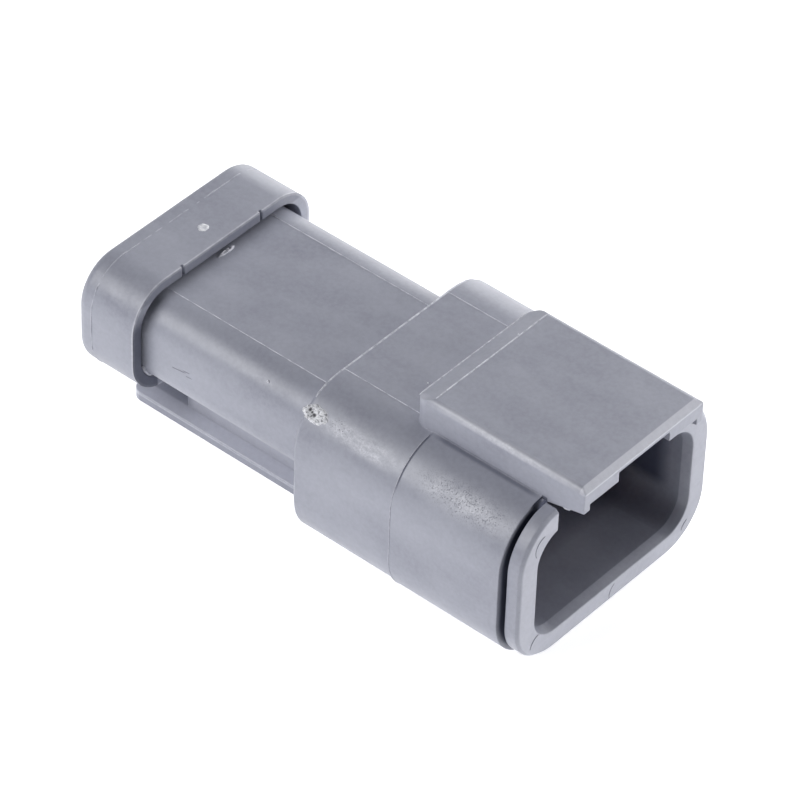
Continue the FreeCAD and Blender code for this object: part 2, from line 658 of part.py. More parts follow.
def make_wedgelock():
    """Secondary lock: a block round the pins, with two tongues that back the lock fingers."""
    body = new_body("wedgelock")
    rear = D["floor_at"] + D["lock_play"]
    front = rear + D["lock_length"]
    section_pad(body, "block", rear, front, lambda sketch: rounded(
        sketch, D["lock_half_width"], D["lock_half_height"], -D["lock_half_height"],
        D["lock_corner"], D["lock_corner"]))
    chamfer(body, "front_bevel", D["lock_edge"], lambda edge: lies_at(edge, "x", front))
    inner, outer = D["tongue_gap"], D["tongue_gap"] + D["tongue_thick"]
    tongues = new_sketch(body, "tongues_section", "YZ_Plane", D["floor_at"] - D["tongue_length"])
    wide = D["tongue_half_width"]
    rectangle(tongues, -wide, wide, inner, outer)
    rectangle(tongues, -wide, wide, -outer, -inner)
    pad(body, "tongues", tongues, D["tongue_length"] + D["lock_play"] + D["lock_edge"])
    holes = new_sketch(body, "pin_holes_section", "YZ_Plane", front)
    for place in contact_places():
        circle(holes, place, 0, D["root_radius"] + D["lock_hole_play"])
    pocket(body, "pin_holes", holes, D["lock_length"])
    pulls = new_sketch(body, "pull_windows_section", "YZ_Plane", front)
    for sign in (1, -1):
        middle = D["pull_at"] * sign
        rectangle(pulls, middle - D["pull_half_width"], middle + D["pull_half_width"],
                  -D["pull_half_height"], D["pull_half_height"])
    pocket(body, "pull_windows", pulls, D["pull_depth"])
    return body


def make_pin_contact(index):
    """A turned pin contact: crimp barrel, waist, flange, shank and pin, with a sight hole."""
    body = new_body(f"pin_contact_{index}", across=index - 2)
    profile = new_sketch(body, f"contact_profile_{index}", "XZ_Plane")
    barrel_end = D["barrel_at"] + D["barrel_length"]
    bore_end = D["barrel_at"] + D["barrel_depth"]
    flange_rear = D["stop_at"] - D["flange_length"]
    flange = D["cavity_bore"] - D["flange_play"]
    root_end = D["floor_at"] + D["lock_play"] + D["lock_length"] + D["root_over"]
    nose = D["pin_tip_at"] - D["pin_nose"]
    polygon(profile, [
        (bore_end, 0), (bore_end, D["barrel_bore"]), (D["barrel_at"], D["barrel_bore"]),
        (D["barrel_at"], D["barrel_radius"]), (barrel_end, D["barrel_radius"]),
        (barrel_end, D["waist_radius"]), (flange_rear, D["waist_radius"]), (flange_rear, flange),
        (D["stop_at"], flange), (D["stop_at"], D["shank_radius"]), (D["floor_at"], D["shank_radius"]),
        (D["floor_at"], D["root_radius"]), (root_end, D["root_radius"]),
        (root_end + D["root_bevel"], D["pin_radius"]), (nose, D["pin_radius"]),
        (D["pin_tip_at"], D["pin_nose_flat"]), (D["pin_tip_at"], 0)])
    turned = body.newObject("PartDesign::Revolution", f"turned_form_{index}")
    turned.Profile = profile
    turned.ReferenceAxis = (profile, ["H_Axis"])
    turned.Angle = 360
    profile.Visibility = False
    sight = new_sketch(body, f"sight_hole_plan_{index}", "XY_Plane")
    circle(sight, bore_end - D["sight_back"], 0, D["sight_hole"])
    pocket(body, f"sight_hole_{index}", sight, D["barrel_radius"] + D["embed"], forward=True)
    return body


# Checks and output

def check_document():
    for item in DOC.Objects:
        if "Invalid" in item.State or "Error" in item.State:
            raise ValueError(f"{item.Name} failed: {item.State}")
        if item.TypeId in ("PartDesign::Pad", "PartDesign::Pocket") and item.BaseFeature:
            before, after = item.BaseFeature.Shape.Volume, item.Shape.Volume
            if abs(after - before) < 1e-6:
                raise ValueError(f"{item.Name} changed nothing")


def write_parts(bodies):
    os.makedirs("parts", exist_ok=True)
    for body in bodies:
        shape = body.Shape
        if shape.isNull() or not shape.isValid():
            raise ValueError(f"{body.Label} is not a valid solid")
        if len(shape.Solids) != 1:
            raise ValueError(f"{body.Label} has {len(shape.Solids)} solids")
        shape.exportStep(os.path.join("parts", f"{body.Label}.step"))
        box = shape.optimalBoundingBox(False)
        print(f"{body.Label}: {shape.Volume:.2f} mm3, x {box.XMin:.2f} to {box.XMax:.2f}, "
              f"y {box.YMin:.2f} to {box.YMax:.2f}, z {box.ZMin:.2f} to {box.ZMax:.2f}")


D = fill_sheet()
# Places that follow from two or more driving dimensions
D["neck_at"] = D["cap_back"] + D["flange_thick"]
D["cap_half_width"] = D["neck_half_width"] + D["cap_side_play"] + D["cap_wall"]
D["cap_half_height"] = D["neck_half_height"] + D["cap_top_play"] + D["cap_wall"]
D["rim_at"] = D["groove_at"] + D["groove_width"]

BODIES = [make_housing(), make_rear_cap(), make_wire_seal(), make_wedgelock()]
BODIES += [make_pin_contact(index + 1) for index in range(WAYS)]
DOC.recompute()
check_document()
write_parts(BODIES)
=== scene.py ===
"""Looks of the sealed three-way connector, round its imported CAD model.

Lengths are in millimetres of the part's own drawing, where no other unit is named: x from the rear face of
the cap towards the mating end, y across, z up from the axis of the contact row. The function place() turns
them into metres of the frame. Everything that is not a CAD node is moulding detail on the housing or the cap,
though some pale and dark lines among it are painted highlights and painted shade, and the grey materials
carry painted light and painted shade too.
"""
import math
from collections import namedtuple

import bmesh
import bpy
from mathutils import Matrix, Vector, noise


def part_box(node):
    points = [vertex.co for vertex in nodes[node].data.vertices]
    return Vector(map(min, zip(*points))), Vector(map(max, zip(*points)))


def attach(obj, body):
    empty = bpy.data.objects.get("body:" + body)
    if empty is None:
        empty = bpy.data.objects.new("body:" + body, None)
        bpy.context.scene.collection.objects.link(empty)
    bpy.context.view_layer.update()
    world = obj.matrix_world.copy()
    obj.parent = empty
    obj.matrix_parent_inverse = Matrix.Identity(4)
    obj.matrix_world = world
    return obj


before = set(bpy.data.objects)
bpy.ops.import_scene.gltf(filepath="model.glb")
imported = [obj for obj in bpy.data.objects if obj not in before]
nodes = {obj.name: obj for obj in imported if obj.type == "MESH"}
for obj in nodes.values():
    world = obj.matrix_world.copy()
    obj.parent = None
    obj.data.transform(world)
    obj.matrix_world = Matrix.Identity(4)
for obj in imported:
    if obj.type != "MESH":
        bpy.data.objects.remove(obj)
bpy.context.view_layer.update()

MM = 0.001
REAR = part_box("rear_cap")[0].x
AXIS = sum(corner.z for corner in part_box("pin_contact_2")) / 2
BODY = "shell"
UP = Vector((0, 0, 1))
DOWN = Vector((0, 0, -1))
FORWARD = Vector((1, 0, 0))

# The forms of the drawing that detail lies on, as rounded rectangles across x

Form = namedtuple("Form", "half top low corner")
CAP_FORM = Form(10.15, 5.14, -5.14, 3.65)
REAR_FORM = Form(11.46, 6.22, -8.22, 4.90)
STEP_FORM = Form(11.53, 6.29, -8.29, 4.90)

# Places along x, then heights and half widths

SHELL_START = 23.22
BRIDGE_START = 31.02
SLOPE_END = 32.70
STEP_AT = 32.95
GROOVE_START = 43.34
GROOVE_END = 43.86
RIM_FRONT = 45.07
NECK_TOP = 3.79
SHELL_TOP = 6.22
SLOPE_LOW = 8.40
BRIDGE_TOP = 9.06
PLATE_LINE = -7.63
PARTING = 5.94
BRIDGE_HALF = 6.88
PLATE_HALF = 6.97
NECK_HALF = 8.95


def place(x, y, z):
    return Vector((REAR + x * MM, y * MM, AXIS + z * MM))


# Camera, at the photograph's viewing angle

CAMERA_AZIMUTH = 39.390
CAMERA_ELEVATION = 41.724
CAMERA_ROLL = 2.031
CAMERA_DISTANCE = 394.554
CAMERA_RIGHT = 0.329
CAMERA_UP = -0.568
CAMERA_LENS = 234
SENSOR_WIDTH = 36
CLIP_START = 10


def towards(azimuth, elevation):
    """The direction from the part to a viewer, with the azimuth measured from -Y to +X, in degrees."""
    a = math.radians(azimuth)
    e = math.radians(elevation)
    return Vector((math.sin(a) * math.cos(e), -math.cos(a) * math.cos(e), math.sin(e)))


def aim_camera():
    back = towards(CAMERA_AZIMUTH, CAMERA_ELEVATION)
    azimuth = math.radians(CAMERA_AZIMUTH)
    level = Vector((math.cos(azimuth), math.sin(azimuth), 0))
    upright = back.cross(level)
    roll = math.radians(CAMERA_ROLL)
    right = math.cos(roll) * level + math.sin(roll) * upright
    up = math.cos(roll) * upright - math.sin(roll) * level
    camera = bpy.data.objects.new("camera", bpy.data.cameras.new("camera"))
    camera.data.sensor_width = SENSOR_WIDTH
    camera.data.lens = CAMERA_LENS
    camera.data.clip_start = CLIP_START * MM
    turn = Matrix((right, up, back)).transposed().to_4x4()
    spot = Vector((0, 0, AXIS)) + back * (CAMERA_DISTANCE * MM)
    spot += right * (CAMERA_RIGHT * MM) + up * (CAMERA_UP * MM)
    camera.matrix_world = Matrix.Translation(spot) @ turn
    bpy.context.scene.collection.objects.link(camera)
    bpy.context.scene.camera = camera


# Light and floor

# Name, azimuth and elevation in degrees, distance and size in metres, power in watts
SOFTBOXES = (
    ("light_left", -30, 38, 0.40, 0.24, 1.18),
    ("light_right", 120, 12, 0.40, 0.24, 0.86),
    ("light_behind", 180, 12, 0.40, 0.24, 0.62),
    ("light_behind_left", -150, 12, 0.40, 0.24, 0.42),
    ("light_near_back", 180, 40, 0.16, 0.10, 0.055),
    ("light_near_right", 160, 25, 0.16, 0.10, 0.045),
)
FLOOR_RADIUS = 1200
FLOOR_SIDES = 96
FLOOR_GLOW = 0.62


def add_softbox(name, azimuth, elevation, distance, size, power):
    """A square soft light that looks at the part."""
    light = bpy.data.lights.new(name, "AREA")
    light.shape = "SQUARE"
    light.size = size
    light.energy = power
    lamp = bpy.data.objects.new(name, light)
    direction = towards(azimuth, elevation)
    lamp.location = Vector((0, 0, AXIS)) + direction * distance
    lamp.rotation_euler = direction.to_track_quat("Z", "Y").to_euler()
    bpy.context.scene.collection.objects.link(lamp)


def light_studio():
    world = bpy.data.worlds.new("studio")
    world.use_nodes = True
    world.node_tree.nodes["Background"].inputs["Strength"].default_value = 0.0
    bpy.context.scene.world = world
    bpy.context.scene.view_settings.view_transform = "Standard"
    for softbox in SOFTBOXES:
        add_softbox(*softbox)


def lay_floor():
    mesh = bpy.data.meshes.new("floor")
    shape = bmesh.new()
    bmesh.ops.create_circle(shape, cap_ends=True, segments=FLOOR_SIDES, radius=FLOOR_RADIUS * MM)
    shape.to_mesh(mesh)
    shape.free()
    floor = bpy.data.objects.new("floor", mesh)
    bpy.context.scene.collection.objects.link(floor)
    paper = Shading("floor_paper")
    paper.feed("Base Color", (0.9, 0.9, 0.9, 1))
    paper.feed("Roughness", 0.9)
    paper.feed("Specular IOR Level", 0.1)
    paper.feed("Emission Color", (1, 1, 1, 1))
    paper.feed("Emission Strength", FLOOR_GLOW)
    mesh.materials.append(paper.material)


# Materials

FAR = 100.0
# Depths under a form's surface where a groove's painted shade starts, becomes full, stays full to the floor,
# and is gone past it
GROOVE_UNSHADED = 0.05
GROOVE_SHADED = 0.60
GROOVE_FLOOR = 1.30
GROOVE_PAST = 1.60
EDGE_ROUNDING = 0.14
EDGE_PAST = 0.24


class Shading:
    """A material's node tree, with short ways to add and join its nodes."""

    def __init__(self, name):
        self.material = bpy.data.materials.new(name)
        self.material.use_nodes = True
        self.tree = self.material.node_tree
        self.surface = self.tree.nodes["Principled BSDF"]
        self.where = self.add("ShaderNodeTexCoord").outputs["Object"]

    def add(self, kind, **settings):
        node = self.tree.nodes.new(kind)
        for key, value in settings.items():
            setattr(node, key, value)
        return node

    def plug(self, value, socket):
        """Join another node's output to a socket, or write a constant on it."""
        if isinstance(value, bpy.types.NodeSocket):
            self.tree.links.new(value, socket)
        else:
            socket.default_value = value

    def feed(self, name, value):
        """Give the material's surface shader one of its values."""
        self.plug(value, self.surface.inputs[name])

    def noise(self, size, detail=2.0, roughness=0.5, stretch=(1, 1, 1)):
        """Noise whose blotches are about size mm across, stretched along the axes."""
        scale = self.add("ShaderNodeMapping", vector_type="POINT")
        scale.inputs["Scale"].default_value = [1 / (size * MM * share) for share in stretch]
        self.plug(self.where, scale.inputs["Vector"])
        texture = self.add("ShaderNodeTexNoise")
        texture.inputs["Scale"].default_value = 1.0
        texture.inputs["Detail"].default_value = detail
        texture.inputs["Roughness"].default_value = roughness
        self.plug(scale.outputs["Vector"], texture.inputs["Vector"])
        return texture.outputs["Fac"]

    def remap(self, value, low, high, to_low=0.0, to_high=1.0, smooth=False):
        """A value's range from low to high, turned into the range from to_low to to_high."""
        node = self.add("ShaderNodeMapRange")
        if smooth:
            node.interpolation_type = "SMOOTHSTEP"
        for key, number in (("From Min", low), ("From Max", high), ("To Min", to_low), ("To Max", to_high)):
            node.inputs[key].default_value = number
        self.plug(value, node.inputs["Value"])
        return node.outputs["Result"]

    def math(self, operation, first, second):
        node = self.add("ShaderNodeMath", operation=operation)
        self.plug(first, node.inputs[0])
        self.plug(second, node.inputs[1])
        return node.outputs["Value"]

    def times(self, first, *others):
        """The product of two or more values."""
        for other in others:
            first = self.math("MULTIPLY", first, other)
        return first

    def vector(self, operation, *values):
        """The result of a vector operation: a number for a length or a dot product, and otherwise a vector."""
        node = self.add("ShaderNodeVectorMath", operation=operation)
        for slot, value in enumerate(values):
            self.plug(value, node.inputs[slot])
        return node.outputs["Value" if operation in ("LENGTH", "DOT_PRODUCT") else "Vector"]

    def mix(self, factor, first, second):
        """A colour between two, each an output or a colour of three numbers."""
        node = self.add("ShaderNodeMix", data_type="RGBA")
        self.plug(factor, node.inputs["Factor"])
        ends = [socket for socket in node.inputs if socket.type == "RGBA"]
        for socket, value in zip(ends, (first, second)):
            self.plug((*value, 1) if isinstance(value, tuple) else value, socket)
        return [socket for socket in node.outputs if socket.type == "RGBA"][0]

    def scaled_offset(self, centre, reach):
        """How far a point lies from a centre, as a share of the reach along x, y and z."""
        offset = self.vector("SUBTRACT", self.where, place(*centre))
        return self.vector("MULTIPLY", offset, [1 / (extent * MM) for extent in reach])

    def near(self, centre, reach, fade):
        """1 in an ellipsoid round a place of the drawing, fading to 0 at its reach."""
        length = self.vector("LENGTH", self.scaled_offset(centre, reach))
        return self.remap(length, 1.0, 1.0 - fade, smooth=True)

    def within(self, centre, reach, fades):
        """1 in a box round a place of the drawing, fading to 0 at its reach, by its own share on each axis."""
        sizes = self.vector("ABSOLUTE", self.scaled_offset(centre, reach))
        parts = self.add("ShaderNodeSeparateXYZ")
        self.plug(sizes, parts.inputs["Vector"])
        return self.times(*(self.remap(parts.outputs[axis], 1.0, 1.0 - fade, smooth=True)
                            for axis, fade in zip("XYZ", fades)))

    def between(self, start, end, fade):
        """1 between two places along x, fading to 0 at both."""
        return self.within(((start + end) / 2, 0, 0), ((end - start) / 2, FAR, FAR), (fade, 0.1, 0.1))

    def off_core(self, form):
        """How far a point lies outside the core of a rounded form: its corner radius on the form's surface."""
        middle = (form.top + form.low) / 2
        core = (FAR, form.half - form.corner, form.top - middle - form.corner)
        sizes = self.vector("ABSOLUTE", self.scaled_offset((0, 0, middle), (1, 1, 1)))
        beyond = self.vector("MAXIMUM", self.vector("SUBTRACT", sizes, core), (0, 0, 0))
        return self.vector("LENGTH", beyond)

    def in_groove(self, form, start, end):
        """1 deep in a groove round a form, from x start to x end, fading out towards the form's surface."""
        length = self.off_core(form)
        sunk = self.remap(length, form.corner - GROOVE_UNSHADED, form.corner - GROOVE_SHADED, smooth=True)
        floor = self.remap(length, form.corner - GROOVE_PAST, form.corner - GROOVE_FLOOR)
        return self.times(sunk, floor, self.between(start, end, 0.03))

    def on_edge(self, form, start, end):
        """1 on the surface of a form between two places along x, fading out at both."""
        skin = self.remap(self.off_core(form), form.corner - EDGE_PAST, form.corner - EDGE_ROUNDING)
        return self.times(skin, self.between(start, end, 0.5))

    def strongest(self, spots, shape):
        """The strongest of several places, each shaped by near or by within."""
        total = None
        for spot in spots:
            value = self.times(shape(spot.centre, spot.reach, spot.fade), spot.strength)
            total = value if total is None else self.math("MAXIMUM", total, value)
        return total

    def bump(self, height, strength, distance, normal=None):
        node = self.add("ShaderNodeBump")
        node.inputs["Strength"].default_value = strength
        node.inputs["Distance"].default_value = distance * MM
        self.plug(height, node.inputs["Height"])
        if normal is not None:
            self.plug(normal, node.inputs["Normal"])
        return node.outputs["Normal"]

    def round_edges(self, radius):
        node = self.add("ShaderNodeBevel", samples=4)
        node.inputs["Radius"].default_value = radius * MM
        return node.outputs["Normal"]

    def edge_mask(self, rounded, low=0.88, high=0.999):
        """1 along sharp edges, where the rounded normal leaves the face's own."""
        face = self.add("ShaderNodeNewGeometry").outputs["Normal"]
        return self.remap(self.vector("DOT_PRODUCT", rounded, face), high, low)


GREY_DARK = (0.276, 0.285, 0.346)
GREY_LIGHT = (0.364, 0.376, 0.442)
# Lighter colour of painted light and painted highlights, partly rubbed wear
PAINTED_LIGHT_AND_WEAR = (0.60, 0.61, 0.68)
FROSTED = (0.66, 0.67, 0.74)
# Dark colour of painted shade
PAINTED_SHADE_COLOUR = (0.020, 0.027, 0.065)
SHEEN = 0.36


def scaled(colour, factor):
    return tuple(value * factor for value in colour)


def moulded_plastic(name, painted_light=(), scuffs=(), pits=(), painted_shade=(), groove=None, edge=None):
    """Satin moulded plastic: cloudy colour, fine grain, worn places, and painted light, highlights and shade.

    Painted light lies evenly in lighter boxes and painted shade in darker boxes. Rounded edges are paler, a
    painted highlight with some wear. Scuffs are frosted and broken up, and pits are fine and dark, both as
    ellipsoids. The groove gets painted shade, and the edge is lighter along its whole length, a painted
    highlight with some wear; each is (form, start, end).
    """
    shading = Shading(name)
    clouds = shading.remap(shading.noise(5.0, 4.0, 0.6, stretch=(2.0, 1.0, 1.0)), 0.3, 0.7)
    flecks = shading.remap(shading.noise(0.35, 2.0, 0.6), 0.35, 0.65, 0.0, 0.16)
    colour = shading.mix(flecks, shading.mix(clouds, GREY_DARK, GREY_LIGHT), scaled(GREY_LIGHT, 1.35))
    rounded = shading.round_edges(0.16)
    # Rounded edges are paler: a painted highlight, with some wear
    patchy = shading.remap(shading.noise(0.9, 3.0, 0.7), 0.35, 0.65, 0.10, 0.55)
    colour = shading.mix(shading.times(shading.edge_mask(rounded), patchy), colour, scaled(GREY_LIGHT, 1.6))
    height = shading.times(shading.noise(0.16, 2.0, 0.6), 0.25)
    # Painted light: lighter boxes where light falls
    if painted_light:
        uneven = shading.remap(shading.noise(0.5, 3.0, 0.7), 0.3, 0.7, 0.75, 1.0)
        colour = shading.mix(shading.times(shading.strongest(painted_light, shading.within), uneven), colour, PAINTED_LIGHT_AND_WEAR)
    # The edge is lighter: a painted highlight, with some wear
    if edge:
        uneven = shading.remap(shading.noise(0.7, 3.0, 0.7), 0.35, 0.65, 0.35, 0.85)
        colour = shading.mix(shading.times(shading.on_edge(*edge), uneven), colour, PAINTED_LIGHT_AND_WEAR)
    if scuffs:
        frost = shading.strongest(scuffs, shading.near)
        broken = shading.remap(shading.noise(0.8, 4.0, 0.7, stretch=(1.8, 1.0, 1.0)), 0.34, 0.62)
        stipple = shading.noise(0.15, 3.0, 0.75)
        speck = shading.times(broken, shading.remap(stipple, 0.38, 0.58, 0.42, 1.0))
        colour = shading.mix(shading.times(frost, speck), colour, FROSTED)
        height = shading.math("ADD", height, shading.times(frost, stipple))
    if pits:
        holes = shading.remap(shading.noise(0.11, 2.0, 0.6), 0.57, 0.66)
        pocks = shading.times(shading.strongest(pits, shading.near), holes)
        colour = shading.mix(pocks, colour, scaled(GREY_DARK, 0.55))
        height = shading.math("SUBTRACT", height, pocks)
    roughness = shading.remap(shading.noise(2.2, 4.0, 0.6), 0.3, 0.7, SHEEN - 0.05, SHEEN + 0.09)
    # Painted shade: darker boxes and a darker groove where shade falls, rougher there too
    if painted_shade:
        shade_mask = shading.strongest(painted_shade, shading.within)
        if groove:
            shade_mask = shading.math("MAXIMUM", shade_mask, shading.times(shading.in_groove(*groove), 0.9))
        colour = shading.mix(shade_mask, colour, PAINTED_SHADE_COLOUR)
        roughness = shading.math("MAXIMUM", roughness, shading.times(shade_mask, 0.95))
    shading.feed("Base Color", colour)
    shading.feed("Roughness", roughness)
    wavy = shading.bump(shading.noise(2.6, stretch=(1.8, 1.0, 1.0)), 0.35, 0.10, rounded)
    shading.feed("Normal", shading.bump(height, 0.5, 0.03, wavy))
    return shading.material


def line_plastic(name, dark, light):
    """The thin, stressed plastic of a parting line or gate, paler in places than the moulding, and the colour
    of lines that are painted highlights and painted shade.
    """
    shading = Shading(name)
    shade = shading.remap(shading.noise(0.45, 4.0, 0.7, stretch=(2.0, 1.0, 1.0)), 0.36, 0.60)
    shading.feed("Base Color", shading.mix(shade, dark, light))
    shading.feed("Roughness", shading.remap(shading.noise(0.3), 0.3, 0.7, 0.38, 0.60))
    shading.feed("Normal", shading.bump(shading.noise(0.08, 3.0, 0.7), 0.5, 0.02))
    return shading.material


def torn_plastic(name, pits):
    """Broken plastic of a snapped gate: chalky crumbs round dark pits."""
    shading = Shading(name)
    crumbs = shading.remap(shading.noise(0.18, 4.0, 0.8), 0.36, 0.50)
    chalky = shading.mix(crumbs, (0.24, 0.24, 0.28), (0.86, 0.87, 0.92))
    holes = shading.strongest(pits, shading.near)
    shading.feed("Base Color", shading.mix(holes, chalky, (0.045, 0.045, 0.055)))
    shading.feed("Roughness", shading.remap(crumbs, 0.0, 1.0, 0.45, 0.80))
    shading.feed("Normal", shading.bump(crumbs, 0.9, 0.05))
    return shading.material


def silicone(name):
    """Dusty orange-red silicone of the wire seal."""
    shading = Shading(name)
    clouds = shading.remap(shading.noise(1.8, 3.0, 0.6), 0.3, 0.7)
    dusty = shading.remap(shading.noise(0.25, 4.0, 0.7), 0.60, 0.72, 0.0, 0.35)
    red = shading.mix(clouds, (0.42, 0.055, 0.022), (0.52, 0.080, 0.030))
    shading.feed("Base Color", shading.mix(dusty, red, (0.62, 0.26, 0.19)))
    shading.feed("Roughness", shading.remap(clouds, 0.0, 1.0, 0.40, 0.56))
    shading.feed("Normal", shading.bump(shading.noise(0.22, 3.0, 0.6), 0.4, 0.015, shading.round_edges(0.08)))
    return shading.material


def lock_plastic(name):
    """Orange plastic of the wedgelock, paler along its edges: a painted highlight, with some wear."""
    shading = Shading(name)
    clouds = shading.remap(shading.noise(2.5, 3.0, 0.6), 0.3, 0.7)
    rounded = shading.round_edges(0.08)
    # Paler edges: a painted highlight, with some wear
    edge_highlight_and_wear = shading.times(shading.edge_mask(rounded), shading.remap(clouds, 0, 1, 0.1, 0.4))
    orange = shading.mix(clouds, (0.66, 0.165, 0.015), (0.78, 0.220, 0.022))
    shading.feed("Base Color", shading.mix(edge_highlight_and_wear, orange, (0.92, 0.46, 0.16)))
    shading.feed("Roughness", shading.remap(clouds, 0.0, 1.0, 0.32, 0.46))
    shading.feed("Normal", shading.bump(shading.noise(0.14, 2.0, 0.6), 0.3, 0.012, rounded))
    return shading.material


def turned_nickel(name):
    """Nickel plate over a turned pin: fine rings round its length, slightly dulled."""
    shading = Shading(name)
    shading.feed("Metallic", 1.0)
    rings = shading.noise(0.05, stretch=(1.0, 40.0, 40.0))
    tarnish = shading.remap(shading.noise(0.9, 4.0, 0.6), 0.35, 0.70)
    shading.feed("Base Color", shading.mix(tarnish, (0.66, 0.63, 0.57), (0.50, 0.46, 0.39)))
    shading.feed("Roughness", shading.remap(rings, 0.3, 0.7, 0.20, 0.36))
    shading.feed("Normal", shading.bump(rings, 0.25, 0.006, shading.round_edges(0.05)))
    return shading.material


# Worn places, painted light and painted shade of the grey mouldings

Spot = namedtuple("Spot", "centre reach strength fade")


def mirrored(spot):
    """A place and its mirror image across the part."""
    x, y, z = spot.centre
    return (spot, spot._replace(centre=(x, -y, z)))


# Painted light: places of the housing made lighter where light falls on them
PAINTED_LIGHT_PLACES = (
    # Painted highlights on the bridge's near top edge, its front edge, and the corner of its slope
    Spot((39.8, -6.64, 8.90), (7.6, 0.40, 0.40), 0.42, (0.3, 0.6, 0.6)),
    Spot((46.98, 0.0, 8.90), (0.34, 7.2, 0.34), 0.95, (0.3, 0.1, 0.3)),
    Spot((31.6, -6.50, 8.45), (0.8, 0.6, 0.6), 0.45, (0.8, 0.8, 0.8)),
    # Painted light on the rail's plate and web, in the neck's shade
    Spot((12.6, -6.4, -7.52), (11.0, 0.9, 0.25), 0.75, (0.1, 0.3, 0.1)),
    Spot((15.4, -5.62, -5.4), (8.0, 0.10, 2.1), 0.50, (0.1, 0.1, 0.1)),
    # Painted light on the rim's front face
    Spot((45.1, 0.0, -1.5), (0.10, 12.0, 7.7), 0.32, (0.1, 0.1, 0.1)),
)
SCUFFS = (
    # The shell's two near corners, the bridge's near edge, and the neck's near corner
    Spot((28.6, -10.15, 4.7), (5.8, 1.15, 1.2), 1.0, 0.85),
    Spot((38.6, -10.1, 4.85), (6.4, 1.8, 1.7), 0.60, 0.9),
    Spot((39.8, -6.70, 8.82), (8.2, 0.42, 0.42), 0.75, 0.8),
    Spot((17.6, -8.2, 2.8), (1.6, 0.5, 0.5), 0.4, 0.8),
)
PITS = (
    # The shell's near corners in front of the mould-half step and behind it
    Spot((38.8, -10.0, 4.9), (6.4, 2.0, 1.9), 0.85, 0.8),
    Spot((26.6, -9.9, 4.8), (1.6, 0.8, 0.8), 0.8, 0.7),
)
# Painted shade: places of the housing darkened where shade falls
HOUSING_SHADE = (
    # Painted shade: the step between the mould halves, the bridge's near foot, and the side of the rail's
    # plate
    Spot((33.02, -9.2, 5.2), (0.17, 2.4, 2.3), 0.70, (0.6, 0.4, 0.4)),
    Spot((38.3, -7.05, 6.28), (5.4, 0.42, 0.22), 0.50, (0.3, 0.9, 0.4)),
    Spot((12.9, -7.02, -7.95), (10.4, 0.07, 0.50), 0.24, (0.05, 0.1, 0.1)),
    # Painted shade: the mouth, its inner end, the tunnel under the bridge, the mouth's sides,
    # and the groove's upper ends
    Spot((34.9, 0.0, -1.0), (10.6, 9.7, 5.6), 0.20, (0.12, 0.05, 0.05)),
    Spot((32.5, 0.0, -1.0), (9.2, 9.7, 5.6), 0.55, (0.40, 0.05, 0.05)),
    Spot((38.0, 0.0, 6.2), (7.0, 6.3, 2.15), 0.70, (0.5, 0.02, 0.05)),
    *mirrored(Spot((37.0, 8.6, 0.0), (7.2, 1.1, 4.8), 0.90, (0.35, 0.5, 0.4))),
    *mirrored(Spot((43.6, 7.4, 6.0), (0.26, 0.9, 0.5), 0.90, (0.03, 0.6, 0.2))),
)
CAP_SHADE = (
    # Painted shade on the cap's front lip beside the neck, at its near side and along its top
    Spot((5.95, -9.0, -1.8), (0.10, 1.7, 5.6), 0.66, (0.1, 0.1, 0.4)),
    Spot((5.95, 0.0, 4.6), (0.10, 11.0, 0.9), 0.34, (0.1, 0.1, 0.3)),
)


def dress_nodes():
    # The groove gets painted shade
    groove = (STEP_FORM, GROOVE_START, GROOVE_END)
    # The cap's lip edge is lighter: a painted highlight, with some wear
    lip_edge = (CAP_FORM, 5.68, 6.04)
    dress = {"housing": moulded_plastic("housing_grey", PAINTED_LIGHT_PLACES, SCUFFS, PITS, HOUSING_SHADE, groove=groove),
             "rear_cap": moulded_plastic("cap_grey", painted_shade=CAP_SHADE, edge=lip_edge),
             "wire_seal": silicone("seal_red"),
             "wedgelock": lock_plastic("lock_orange")}
    nickel = turned_nickel("contact_nickel")
    for name in nodes:
        for slot in nodes[name].material_slots:
            slot.material = dress.get(name, nickel)


# Moulding detail, with pale and dark lines that are painted highlights and painted shade

SINK = 0.03
CREST = 0.45
ARC_STEP = 9
PIN_MARK_RADIUS = 1.05
PIN_MARK_STEPS = 22
# Name, centre y and z, first and last angle of the visible arc in degrees
PIN_MARKS = (
    ("top_left", -8.40, 3.44, 92, 212),
    ("low", 0.93, -7.45, 116, 194),
    ("low_left", -8.40, -6.40, 98, 178),
    ("low_right", 9.50, -6.88, 112, 168),
)

Pit = namedtuple("Pit", "u v radius depth")


def add_piece(name, shape, material):
    bmesh.ops.recalc_face_normals(shape, faces=shape.faces)
    mesh = bpy.data.meshes.new(name)
    shape.to_mesh(mesh)
    shape.free()
    mesh.materials.append(material)
    piece = bpy.data.objects.new(name, mesh)
    bpy.context.scene.collection.objects.link(piece)
    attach(piece, BODY)
    return piece


def run(start, end, outward, step=0.4):
    """Points and outward directions along a straight line on a flat face."""
    start = Vector(start)
    end = Vector(end)
    count = max(2, round((end - start).length / step))
    return [(start.lerp(end, index / count), Vector(outward).normalized()) for index in range(count + 1)]


